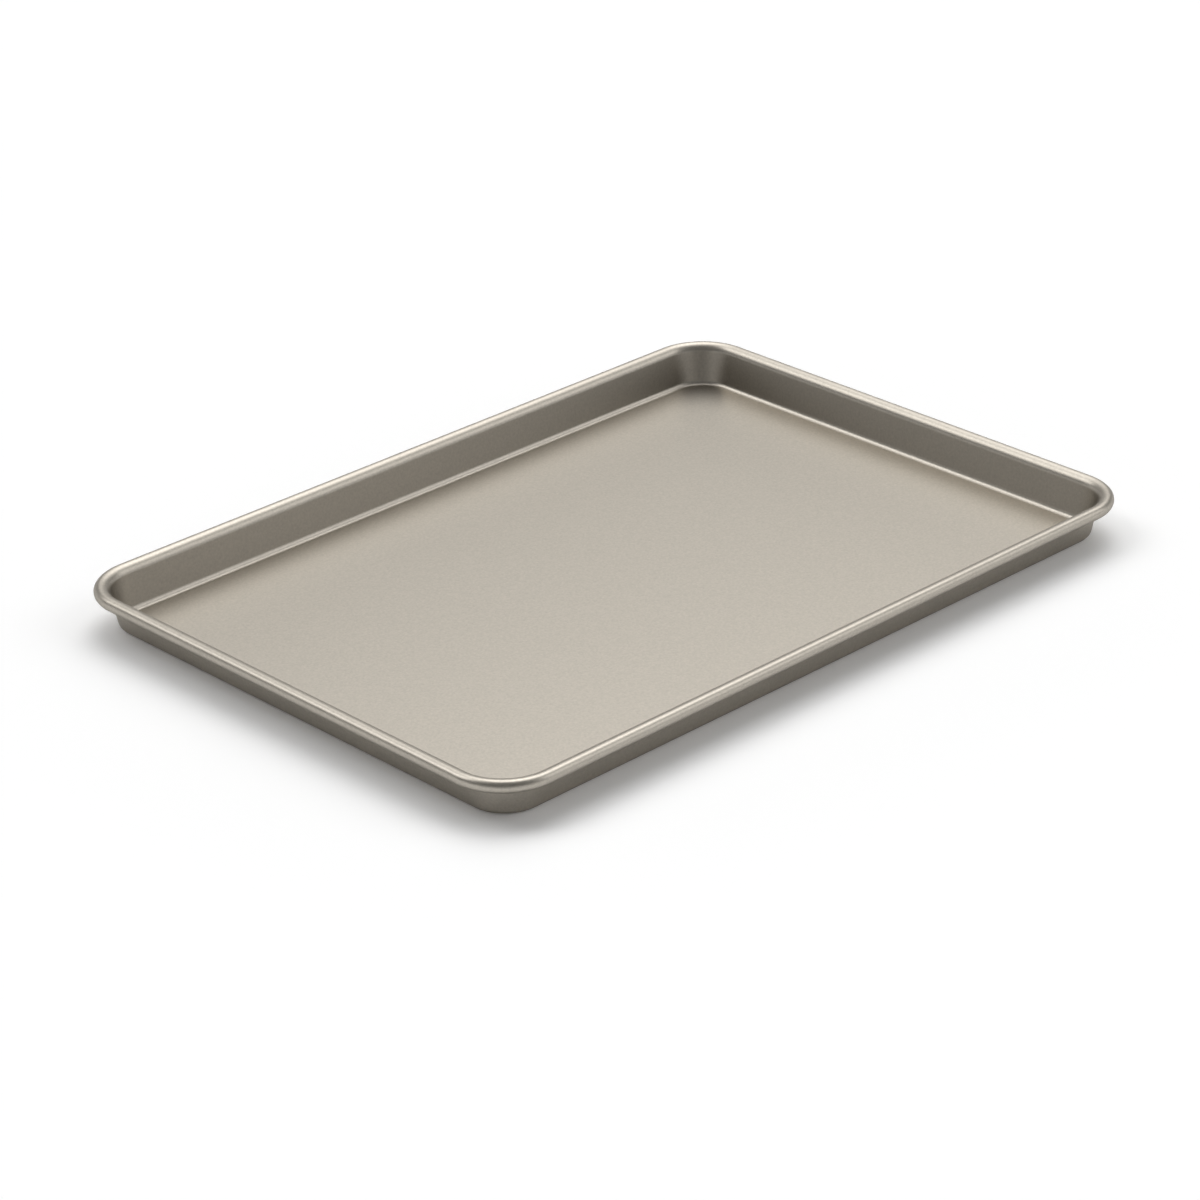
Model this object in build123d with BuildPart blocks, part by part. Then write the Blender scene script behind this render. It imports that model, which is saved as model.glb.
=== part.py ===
from build123d import *

import os
from math import cos, radians, sin, tan

# Jelly roll pan: a shallow pressed-steel tray whose edge is curled over a steel wire.
# Frame: +X along the long side, +Y along the short side, +Z up.
# The origin is the centre of the flat underside, which is what the pan stands on.

# Overall sizes, measured over the rim
PAN_LENGTH = 432.0
PAN_WIDTH = 305.0
PAN_HEIGHT = 22.2
RIM_CORNER_RADIUS = 30.3

# Pressed sheet: the radii are those of its upper, inner face
SHEET_THICKNESS = 0.8
FLOOR_BEND_RADIUS = 3.0
SHOULDER_RADIUS = 5.0
WALL_DRAFT = 11.7

# Wire, and the curl that wraps round it, in degrees from the top of the rim
WIRE_DIAMETER = 4.6
WIRE_CLEARANCE = 0.1
WIRE_BUTT_GAP = 0.6
CURL_WRAP = 250.0

os.makedirs("parts", exist_ok=True)

# The sheet's section is measured outwards from the axis of the rim's rounded corner.
# The curl and the shoulder share a vertical centre line, so they meet smoothly on top.
draft = radians(WALL_DRAFT)
wall_turn = 90.0 - WALL_DRAFT

pocket_radius = WIRE_DIAMETER / 2 + WIRE_CLEARANCE
curl_radius = pocket_radius + SHEET_THICKNESS
curl_reach = RIM_CORNER_RADIUS - curl_radius
curl_height = PAN_HEIGHT - curl_radius
shoulder_height = PAN_HEIGHT - SHOULDER_RADIUS
shoulder_under_radius = SHOULDER_RADIUS - SHEET_THICKNESS

wall_top_reach = curl_reach - SHOULDER_RADIUS * cos(draft)
wall_top_height = shoulder_height + SHOULDER_RADIUS * sin(draft)
bend_height = SHEET_THICKNESS + FLOOR_BEND_RADIUS
bend_under_radius = FLOOR_BEND_RADIUS + SHEET_THICKNESS
wall_run = (wall_top_height - bend_height) * tan(draft)
bend_reach = wall_top_reach - wall_run - FLOOR_BEND_RADIUS / cos(draft)

# Axis of one rounded corner, and the plane through it that carries the section
corner_x = PAN_LENGTH / 2 - RIM_CORNER_RADIUS
corner_y = PAN_WIDTH / 2 - RIM_CORNER_RADIUS
corner_axis = Axis((corner_x, corner_y, 0), (0, 0, 1))
section_plane = Plane(origin=(corner_x, corner_y, 0), x_dir=(1, 0, 0), z_dir=(0, -1, 0))

# Pan shell. One blank of coated steel, pressed into a tray and curled over the wire.
# The section, turned about the corner's axis, makes a coned corner. Its two end faces
# are drawn out to the middles of the sides, and the quarter is mirrored twice.
with BuildPart() as pan_shell:
    with BuildSketch(section_plane):
        # Floor, bend, wall and shoulder
        with BuildLine():
            floor_top = Line((0, SHEET_THICKNESS), (bend_reach, SHEET_THICKNESS))
            bend = CenterArc((bend_reach, bend_height), FLOOR_BEND_RADIUS, -90, wall_turn)
            shoulder = CenterArc(
                (curl_reach, shoulder_height), SHOULDER_RADIUS, 90, wall_turn
            )
            Line(bend @ 1, shoulder @ 1)
            shoulder_under = CenterArc(
                (curl_reach, shoulder_height), shoulder_under_radius, 90, wall_turn
            )
            Line(shoulder @ 0, shoulder_under @ 0)
            bend_under = CenterArc(
                (bend_reach, bend_height), bend_under_radius, -90, wall_turn
            )
            Line(bend_under @ 1, shoulder_under @ 1)
            floor_under = Line((0, 0), bend_under @ 0)
            Line(floor_under @ 0, floor_top @ 0)
        make_face()
        # Curl round the wire
        with BuildLine():
            curl = CenterArc((curl_reach, curl_height), curl_radius, 90, -CURL_WRAP)
            pocket = CenterArc((curl_reach, curl_height), pocket_radius, 90, -CURL_WRAP)
            Line(curl @ 0, pocket @ 0)
            Line(curl @ 1, pocket @ 1)
        make_face()
    revolve(axis=corner_axis, revolution_arc=90)
    corner_ends = pan_shell.faces().filter_by(GeomType.PLANE)
    extrude(corner_ends.filter_by(Axis.Y).sort_by(Axis.Y)[0], amount=corner_y)
    extrude(corner_ends.filter_by(Axis.X).sort_by(Axis.X)[0], amount=corner_x)
    with BuildSketch():
        Rectangle(corner_x, corner_y, align=(Align.MIN, Align.MIN))
    extrude(amount=SHEET_THICKNESS)
    mirror(about=Plane.YZ)
    mirror(about=Plane.XZ)

# Rim wire. One length of round steel wire, bent to the shape of the rim inside its curl.
# Its two ends butt at the middle of a long side.
wire_x = corner_x + curl_reach
wire_y = corner_y + curl_reach

with BuildPart() as rim_wire:
    with BuildLine() as wire_path:
        FilletPolyline(
            (WIRE_BUTT_GAP / 2, wire_y, curl_height),
            (wire_x, wire_y, curl_height),
            (wire_x, -wire_y, curl_height),
            (-wire_x, -wire_y, curl_height),
            (-wire_x, wire_y, curl_height),
            (-WIRE_BUTT_GAP / 2, wire_y, curl_height),
            radius=curl_reach,
        )
    with BuildSketch(Plane(origin=wire_path.line @ 0, z_dir=wire_path.line % 0)):
        Circle(WIRE_DIAMETER / 2)
    sweep()

pan_shell.part.label = "pan_shell"
rim_wire.part.label = "rim_wire"

export_step(pan_shell.part, "parts/pan_shell.step")
export_step(rim_wire.part, "parts/rim_wire.step")
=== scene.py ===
from math import cos, pi, radians, sin

import bmesh
import bpy
import numpy as np
from mathutils import Matrix, Vector


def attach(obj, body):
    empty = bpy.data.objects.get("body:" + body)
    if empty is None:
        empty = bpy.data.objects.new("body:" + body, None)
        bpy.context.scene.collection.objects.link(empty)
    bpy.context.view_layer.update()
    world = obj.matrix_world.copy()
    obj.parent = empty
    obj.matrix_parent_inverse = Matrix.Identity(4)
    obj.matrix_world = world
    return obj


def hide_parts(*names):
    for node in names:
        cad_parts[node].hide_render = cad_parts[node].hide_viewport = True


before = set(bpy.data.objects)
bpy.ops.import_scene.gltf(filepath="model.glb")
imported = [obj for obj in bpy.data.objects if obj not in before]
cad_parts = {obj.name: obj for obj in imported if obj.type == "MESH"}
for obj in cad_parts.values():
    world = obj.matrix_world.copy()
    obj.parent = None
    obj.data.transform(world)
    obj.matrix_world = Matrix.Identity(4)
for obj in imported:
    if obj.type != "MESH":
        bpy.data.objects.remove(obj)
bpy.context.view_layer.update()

# A jelly roll pan: a shallow tray of pressed and coated steel, with its edge rolled over
# a wire.


# Camera. It stands off one corner of the pan, a little above it, with a long lens, as in
# the photograph. Its place was solved from the pan's outline there.
MM = 0.001
PHOTO_SIZE_PX = 1200
PHOTO_FOCAL_PX = 3918.2
PAN_CENTRE_X_PX = 613.56
PAN_CENTRE_Y_PX = 556.45
SENSOR_WIDTH_MM = 36.0
AIM_HEIGHT = 11.0 * MM
CAMERA_DISTANCE = 1913.2 * MM
CAMERA_AZIMUTH = radians(-43.621)
CAMERA_ELEVATION = radians(26.256)
CAMERA_ROLL = radians(-1.263)


def camera_axes(azimuth, elevation, roll):
    """Right, up and back of a camera that looks at the pan from that side, then rolls.

    Azimuth turns anticlockwise, seen from above, from a camera on the -Y side.
    """
    back = Vector((
        sin(azimuth) * cos(elevation), -cos(azimuth) * cos(elevation), sin(elevation)
    ))
    level = Vector((cos(azimuth), sin(azimuth), 0))
    right = cos(roll) * level + sin(roll) * back.cross(level)
    return right, back.cross(right), back


right, up, back = camera_axes(CAMERA_AZIMUTH, CAMERA_ELEVATION, CAMERA_ROLL)
metres_per_px = CAMERA_DISTANCE / PHOTO_FOCAL_PX
off_right = (PAN_CENTRE_X_PX - PHOTO_SIZE_PX / 2) * metres_per_px
off_up = (PHOTO_SIZE_PX / 2 - PAN_CENTRE_Y_PX) * metres_per_px
aim_point = Vector((0, 0, AIM_HEIGHT))
place = aim_point + CAMERA_DISTANCE * back - off_right * right - off_up * up

camera = bpy.data.objects.new("camera", bpy.data.cameras.new("camera"))
bpy.context.scene.collection.objects.link(camera)
camera.data.sensor_width = SENSOR_WIDTH_MM
camera.data.lens = SENSOR_WIDTH_MM * PHOTO_FOCAL_PX / PHOTO_SIZE_PX
camera.matrix_world = (
    Matrix.Translation(place) @ Matrix((right, up, back)).transposed().to_4x4()
)
bpy.context.scene.camera = camera


# Pan shell. One blank of steel sheet, pressed into a tray, its edge curled over the rim
# wire, then coated all over. The sheet's section is carried round the rounded rectangle
# of the rim as one surface, and a flat plate closes each face of the floor.
PAN_LENGTH = 432.0 * MM
PAN_WIDTH = 305.0 * MM
PAN_HEIGHT = 22.2 * MM
RIM_CORNER_RADIUS = 30.3 * MM
SHEET_THICKNESS = 0.8 * MM
FLOOR_BEND_RADIUS = 3.0 * MM
SHOULDER_RADIUS = 5.0 * MM
CURL_RADIUS = 3.2 * MM
WALL_DRAFT = radians(11.7)
CURL_WRAP = radians(250.0)

# Steps of the mesh along the sides, round a corner, and out from the floor's core
LONG_SIDE_STEPS = 36
SHORT_SIDE_STEPS = 24
CORNER_STEPS = 40
PLATE_STEPS = 3

# Steps round each bend of the section, on the sheet's upper face and on its under face
BEND_STEPS = 14
BEND_UNDER_STEPS = 16
SHOULDER_STEPS = 24
SHOULDER_UNDER_STEPS = 20
CURL_STEPS = 56
CURL_UNDER_STEPS = 48

# Points nearer than this become one
MERGE_DISTANCE = 0.001 * MM

# Faces that meet at more than this, as at the sheet's raw edge, aren't smoothed together
SHARP_TURN = radians(35)


def arc(centre, radius, start, turn, steps):
    """Points (reach, height) on a circle, from angle start through turn, both ends kept.

    Each is the centre, plus the radius times the cosine and the sine of its angle.
    """
    angle = start + turn * np.linspace(0, 1, steps + 1)
    return np.stack(
        (centre[0] + radius * np.cos(angle), centre[1] + radius * np.sin(angle)), axis=1
    )


def sheet_section():
    """The sheet's upper face from the floor to the curl's end, then its under face back.

    Reach is measured outwards from the axis of the rim's rounded corner. The upper face is
    bend, wall, shoulder and curl, and the under face is one sheet thickness away.
    """
    quarter = pi / 2
    turn = quarter - WALL_DRAFT
    top = RIM_CORNER_RADIUS - CURL_RADIUS
    curl_centre = (top, PAN_HEIGHT - CURL_RADIUS)
    shoulder_centre = (top, PAN_HEIGHT - SHOULDER_RADIUS)
    wall_top = (
        top - SHOULDER_RADIUS * np.cos(WALL_DRAFT),
        shoulder_centre[1] + SHOULDER_RADIUS * np.sin(WALL_DRAFT),
    )
    bend_height = SHEET_THICKNESS + FLOOR_BEND_RADIUS
    wall_run = (wall_top[1] - bend_height) * np.tan(WALL_DRAFT)
    bend_centre = (
        wall_top[0] - wall_run - FLOOR_BEND_RADIUS / np.cos(WALL_DRAFT),
        bend_height,
    )
    bend = arc(bend_centre, FLOOR_BEND_RADIUS, -quarter, turn, BEND_STEPS)
    shoulder = arc(
        shoulder_centre, SHOULDER_RADIUS, pi - WALL_DRAFT, -turn, SHOULDER_STEPS
    )
    curl = arc(curl_centre, CURL_RADIUS, quarter, -CURL_WRAP, CURL_STEPS)
    curl_under = arc(
        curl_centre, CURL_RADIUS - SHEET_THICKNESS,
        quarter - CURL_WRAP, CURL_WRAP, CURL_UNDER_STEPS,
    )
    shoulder_under = arc(
        shoulder_centre, SHOULDER_RADIUS - SHEET_THICKNESS,
        quarter, turn, SHOULDER_UNDER_STEPS,
    )
    bend_under = arc(
        bend_centre, FLOOR_BEND_RADIUS + SHEET_THICKNESS,
        -WALL_DRAFT, -turn, BEND_UNDER_STEPS,
    )
    return np.concatenate(
        (bend, shoulder, curl[1:], curl_under, shoulder_under[1:], bend_under)
    )


def rim_path():
    """For each step round the pan: the point that reach starts from, and its direction.

    On the sides that point slides along the core rectangle between the corner axes. At a
    corner it stands still while the direction turns through a right angle.
    """
    half_x = PAN_LENGTH / 2 - RIM_CORNER_RADIUS
    half_y = PAN_WIDTH / 2 - RIM_CORNER_RADIUS
    corners = np.array(
        ((half_x, -half_y), (half_x, half_y), (-half_x, half_y), (-half_x, -half_y))
    )
    steps = (SHORT_SIDE_STEPS, LONG_SIDE_STEPS, SHORT_SIDE_STEPS, LONG_SIDE_STEPS)
    starts, turns = [], []
    for side in range(4):
        along = np.arange(steps[side])[:, None] / steps[side]
        here, there = corners[side], corners[(side + 1) % 4]
        starts += [here + along * (there - here), np.repeat(there[None], CORNER_STEPS, 0)]
        turns += [
            np.full(steps[side], side),
            side + np.arange(CORNER_STEPS) / CORNER_STEPS,
        ]
    angle = np.concatenate(turns) * pi / 2
    return np.concatenate(starts), np.stack((np.cos(angle), np.sin(angle)), axis=1)


def grid_faces(rows, columns, closed):
    """Quads between neighbours of a grid of points, facing the way that columns cross rows.

    If closed, its last row is joined to its first.
    """
    row = np.arange(rows if closed else rows - 1)[:, None]
    column = np.arange(columns - 1)[None, :]
    after = (row + 1) % rows
    return np.stack((
        row * columns + column,
        row * columns + column + 1,
        after * columns + column + 1,
        after * columns + column,
    ), axis=-1).reshape(-1, 4)


def carried(profile):
    """The surface of a profile (reach, height) that is carried once round the rim.

    At each step a point lies out from the path by its reach, and up by its height.
    """
    start, outward = rim_path()
    flat = start[:, None, :] + profile[None, :, :1] * outward[:, None, :]
    height = np.broadcast_to(profile[None, :, 1:], (*flat.shape[:2], 1))
    points = np.concatenate((flat, height), axis=2)
    return points.reshape(-1, 3), grid_faces(*points.shape[:2], closed=True)


def core_rectangle(height):
    """A level grid between the four corner axes, with the steps of the rim's path."""
    x = (PAN_LENGTH / 2 - RIM_CORNER_RADIUS) * np.linspace(-1, 1, LONG_SIDE_STEPS + 1)
    y = (PAN_WIDTH / 2 - RIM_CORNER_RADIUS) * np.linspace(-1, 1, SHORT_SIDE_STEPS + 1)
    across, along = np.meshgrid(x, y)
    points = np.stack((across, along, np.full_like(across, height)), axis=-1)
    return points.reshape(-1, 3), grid_faces(len(y), len(x), closed=False)


def level_plate(reach, height):
    """The flat inside the bend: a band out to that reach, round the core rectangle."""
    steps_out = np.linspace(0, 1, PLATE_STEPS + 1)
    band = np.stack((reach * steps_out, np.full(PLATE_STEPS + 1, height)), axis=1)
    return [carried(band), core_rectangle(height)]


def mesh_piece(name, parts):
    """A smooth piece from (points, faces) parts, with the points that they share merged."""
    firsts = np.cumsum([0] + [len(points) for points, faces in parts])
    points = np.concatenate([points for points, faces in parts])
    faces = np.concatenate([faces + first for (_, faces), first in zip(parts, firsts)])
    mesh = bpy.data.meshes.new(name)
    mesh.from_pydata(points.tolist(), [], faces.tolist())
    shape = bmesh.new()
    shape.from_mesh(mesh)
    bmesh.ops.remove_doubles(shape, verts=shape.verts, dist=MERGE_DISTANCE)
    shape.to_mesh(mesh)
    shape.free()
    mesh.shade_smooth()
    mesh.set_sharp_from_angle(angle=SHARP_TURN)
    piece = bpy.data.objects.new(name, mesh)
    bpy.context.scene.collection.objects.link(piece)
    return piece


section = sheet_section()
flat_reach = section[0, 0]
top_plate = level_plate(flat_reach, SHEET_THICKNESS)

# The underside's faces are turned over, so that they point down
under_plate = [(points, faces[:, ::-1]) for points, faces in level_plate(flat_reach, 0)]
coated_shell = mesh_piece("coated_shell", [carried(section)] + top_plate + under_plate)

# Coating: a champagne-pewter nonstick, sprayed on and baked. Its aluminium flakes give the
# eye a satin metal with broad, soft highlights, a faint grain of bright and dull flakes,
# and a slight orange peel. Both are finer than a pixel in life, and are drawn coarser.
DULL_FLAKE_HEX = "9F9A91"
BRIGHT_FLAKE_HEX = "BCB5AA"
DULL_FLAKE_ROUGHNESS = 0.40
BRIGHT_FLAKE_ROUGHNESS = 0.36
EDGE_TINT_HEX = "CACACA"
FLAKE_GRAIN_MM = 1.2
PEEL_WAVE_MM = 2.5
PEEL_HEIGHT_MM = 0.008

# Finer octaves on each pattern, and how strong one of the grain's is next to the last
FLAKE_GRAIN_OCTAVES = 2.0
FLAKE_GRAIN_OCTAVE_RATIO = 0.6
PEEL_WAVE_OCTAVES = 1.0


def linear(hex_colour):
    """An sRGB hex colour as linear red, green and blue, with an alpha of 1.

    The standard curve is straight near black, and a power of 2.4 above that.
    """
    srgb = np.array([int(hex_colour[k:k + 2], 16) / 255 for k in (0, 2, 4)])
    low, high = srgb / 12.92, ((srgb + 0.055) / 1.055) ** 2.4
    return (*np.where(srgb <= 0.04045, low, high).tolist(), 1.0)


def add_node(tree, kind, inputs=None, **settings):
    """A node of that kind with its settings. An input takes a value, or a socket to link."""
    node = tree.nodes.new(kind)
    for name, value in settings.items():
        setattr(node, name, value)
    for name, value in (inputs or {}).items():
        if isinstance(value, bpy.types.NodeSocket):
            tree.links.new(value, node.inputs[name])
        else:
            node.inputs[name].default_value = value
    return node


coating = bpy.data.materials.new("champagne_nonstick_coating")
coating.use_nodes = True
tree = coating.node_tree
shader = tree.nodes["Principled BSDF"]
place_on_pan = add_node(tree, "ShaderNodeTexCoord").outputs["Object"]
flakes = add_node(tree, "ShaderNodeTexNoise", {
    "Vector": place_on_pan,
    "Scale": 1 / (FLAKE_GRAIN_MM * MM),
    "Detail": FLAKE_GRAIN_OCTAVES,
    "Roughness": FLAKE_GRAIN_OCTAVE_RATIO,
})
flake_colour = add_node(tree, "ShaderNodeMix", {
    "Factor": flakes.outputs["Fac"],
    "A": linear(DULL_FLAKE_HEX),
    "B": linear(BRIGHT_FLAKE_HEX),
}, data_type="RGBA")
tree.links.new(flake_colour.outputs["Result"], shader.inputs["Base Color"])
flake_roughness = add_node(tree, "ShaderNodeMapRange", {
    "Value": flakes.outputs["Fac"],
    "To Min": DULL_FLAKE_ROUGHNESS,
    "To Max": BRIGHT_FLAKE_ROUGHNESS,
})
tree.links.new(flake_roughness.outputs["Result"], shader.inputs["Roughness"])
peel = add_node(tree, "ShaderNodeTexNoise", {
    "Vector": place_on_pan,
    "Scale": 1 / (PEEL_WAVE_MM * MM),
    "Detail": PEEL_WAVE_OCTAVES,
})
orange_peel = add_node(tree, "ShaderNodeBump", {
    "Height": peel.outputs["Fac"],
    "Distance": PEEL_HEIGHT_MM * MM,
})
tree.links.new(orange_peel.outputs["Normal"], shader.inputs["Normal"])
shader.inputs["Metallic"].default_value = 1.0
shader.inputs["Specular Tint"].default_value = linear(EDGE_TINT_HEX)

coated_shell.data.materials.append(coating)
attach(coated_shell, "root")
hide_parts("pan_shell")


# Rim wire. One length of drawn and galvanised steel wire inside the curl, which closes on
# it all round. It shows only from below, through the slit between the curl and the wall.
# Its CAD node stays, in zinc: a dull grey metal with a faint cloudy mottle.
DULL_ZINC_HEX = "8C8C8B"
BRIGHT_ZINC_HEX = "A8A8A6"
ZINC_ROUGHNESS = 0.42
ZINC_GRAIN_MM = 3.0
ZINC_GRAIN_OCTAVES = 2.0

wire_steel = bpy.data.materials.new("galvanised_steel_wire")
wire_steel.use_nodes = True
tree = wire_steel.node_tree
shader = tree.nodes["Principled BSDF"]
zinc = add_node(tree, "ShaderNodeTexNoise", {
    "Vector": add_node(tree, "ShaderNodeTexCoord").outputs["Object"],
    "Scale": 1 / (ZINC_GRAIN_MM * MM),
    "Detail": ZINC_GRAIN_OCTAVES,
})
zinc_colour = add_node(tree, "ShaderNodeMix", {
    "Factor": zinc.outputs["Fac"],
    "A": linear(DULL_ZINC_HEX),
    "B": linear(BRIGHT_ZINC_HEX),
}, data_type="RGBA")
tree.links.new(zinc_colour.outputs["Result"], shader.inputs["Base Color"])
shader.inputs["Metallic"].default_value = 1.0
shader.inputs["Roughness"].default_value = ZINC_ROUGHNESS
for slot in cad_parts["rim_wire"].material_slots:
    slot.material = wire_steel


# Floor of the studio. White matt paper, just under the pan, wide enough to reach past the
# edges of every view. It lights the pan as pale grey paper would. To the camera and in
# reflections it is pure white with a small lift, and it still takes the pan's shadow.
FLOOR_REACH = 9.0
FLOOR_DROP = 0.05 * MM
FLOOR_HEX = "E7E7E7"
FLOOR_SEEN_HEX = "FFFFFF"
FLOOR_SEEN_LIFT = 0.035
FLOOR_CORNERS = [(-1, -1), (1, -1), (1, 1), (-1, 1)]

mesh = bpy.data.meshes.new("floor")
mesh.from_pydata(
    [(x * FLOOR_REACH, y * FLOOR_REACH, -FLOOR_DROP) for x, y in FLOOR_CORNERS],
    [],
    [(0, 1, 2, 3)],
)
floor = bpy.data.objects.new("floor", mesh)
bpy.context.scene.collection.objects.link(floor)

paper = bpy.data.materials.new("white_paper")
paper.use_nodes = True
tree = paper.node_tree
shader = tree.nodes["Principled BSDF"]
rays = add_node(tree, "ShaderNodeLightPath").outputs
seen_or_glossy = add_node(tree, "ShaderNodeMath", {
    0: rays["Is Camera Ray"],
    1: rays["Is Glossy Ray"],
}, operation="MAXIMUM").outputs[0]
seen = add_node(tree, "ShaderNodeMath", {
    0: seen_or_glossy,
    1: rays["Is Transmission Ray"],
}, operation="MAXIMUM").outputs[0]
paper_colour = add_node(tree, "ShaderNodeMix", {
    "Factor": seen,
    "A": linear(FLOOR_HEX),
    "B": linear(FLOOR_SEEN_HEX),
}, data_type="RGBA")
tree.links.new(paper_colour.outputs["Result"], shader.inputs["Base Color"])
lift = add_node(tree, "ShaderNodeMath", {0: seen, 1: FLOOR_SEEN_LIFT}, operation="MULTIPLY")
tree.links.new(lift.outputs[0], shader.inputs["Emission Strength"])
shader.inputs["Emission Color"].default_value = linear(FLOOR_SEEN_HEX)
shader.inputs["Roughness"].default_value = 1.0
shader.inputs["Specular IOR Level"].default_value = 0.0
floor.data.materials.append(paper)


# Light. A dim studio with a white wall round it and three soft boxes, all far away, so it
# is drawn on the world. A direction is given by its bearing, clockwise from straight behind
# the pan as the camera sees it, and by its height above the horizon, both in degrees.
AMBIENT = 0.2

# The wall is evenly lit from the horizon up to its top, and fades out above it
WALL_STRENGTH = 1.0 - AMBIENT
WALL_TOP = 9.4
WALL_FADE = 7.2

# Behind the camera it is dimmer, which gives the pan's back corner its dark middle
GAP_BEARING = 180.0
GAP_HALF_WIDTH = 9.0
GAP_FADE = 34.0
GAP_DEPTH = 0.75

# Each box is at its strength out to its half width, and fades out round that
SOFT_BOXES = [
    {"bearing": 9.0, "height": 57.2, "half_width": 3.1, "fade": 38.0, "strength": 3.65},
    {"bearing": 89.3, "height": 34.0, "half_width": 13.7, "fade": 8.0, "strength": 1.65},
    {"bearing": 288.1, "height": 47.8, "half_width": 11.7, "fade": 8.0, "strength": 3.1},
]

world = bpy.data.worlds.new("studio")
bpy.context.scene.world = world
world.use_nodes = True
sky = world.node_tree
direction = add_node(sky, "ShaderNodeTexCoord").outputs["Generated"]


def fading(angle, full_at, fade, strength):
    """Strength where angle is up to full_at, falling smoothly to nothing over the fade."""
    return add_node(sky, "ShaderNodeMapRange", {
        "Value": angle,
        "From Min": radians(full_at),
        "From Max": radians(full_at + fade),
        "To Min": strength,
        "To Max": 0.0,
    }, interpolation_type="SMOOTHSTEP").outputs["Result"]


def angle_from(axis):
    """The angle between the ray and the unit vector axis: the arc cosine of their product."""
    product = add_node(
        sky, "ShaderNodeVectorMath", {0: direction, 1: axis}, operation="DOT_PRODUCT"
    )
    return add_node(
        sky, "ShaderNodeMath", {0: product.outputs["Value"]}, operation="ARCCOSINE"
    ).outputs[0]


def aim(bearing, height):
    """The unit vector towards that bearing and height, both in degrees."""
    turn, rise = radians(bearing) - CAMERA_AZIMUTH, radians(height)
    return (sin(turn) * cos(rise), cos(turn) * cos(rise), sin(rise))


# A ray's height above the horizon is a right angle less its angle from straight up
height = add_node(sky, "ShaderNodeMath", {
    0: pi / 2, 1: angle_from(aim(bearing=0, height=90)),
}, operation="SUBTRACT").outputs[0]
wall = fading(height, WALL_TOP, WALL_FADE, WALL_STRENGTH)
gap = fading(
    angle_from(aim(GAP_BEARING, height=0)), GAP_HALF_WIDTH, GAP_FADE, GAP_DEPTH
)

# The wall's light, less the gap's share of it, is added to the ambient light
lit = add_node(sky, "ShaderNodeMath", {0: 1.0, 1: gap}, operation="SUBTRACT").outputs[0]
light = add_node(
    sky, "ShaderNodeMath", {0: wall, 1: lit, 2: AMBIENT}, operation="MULTIPLY_ADD"
).outputs[0]
for box in SOFT_BOXES:
    angle = angle_from(aim(box["bearing"], box["height"]))
    glow = fading(angle, box["half_width"], box["fade"], box["strength"])
    light = add_node(sky, "ShaderNodeMath", {0: light, 1: glow}).outputs[0]
sky.links.new(light, sky.nodes["Background"].inputs["Strength"])
sky.nodes["Background"].inputs["Color"].default_value = linear("FFFFFF")

bpy.context.scene.view_settings.view_transform = "Standard"
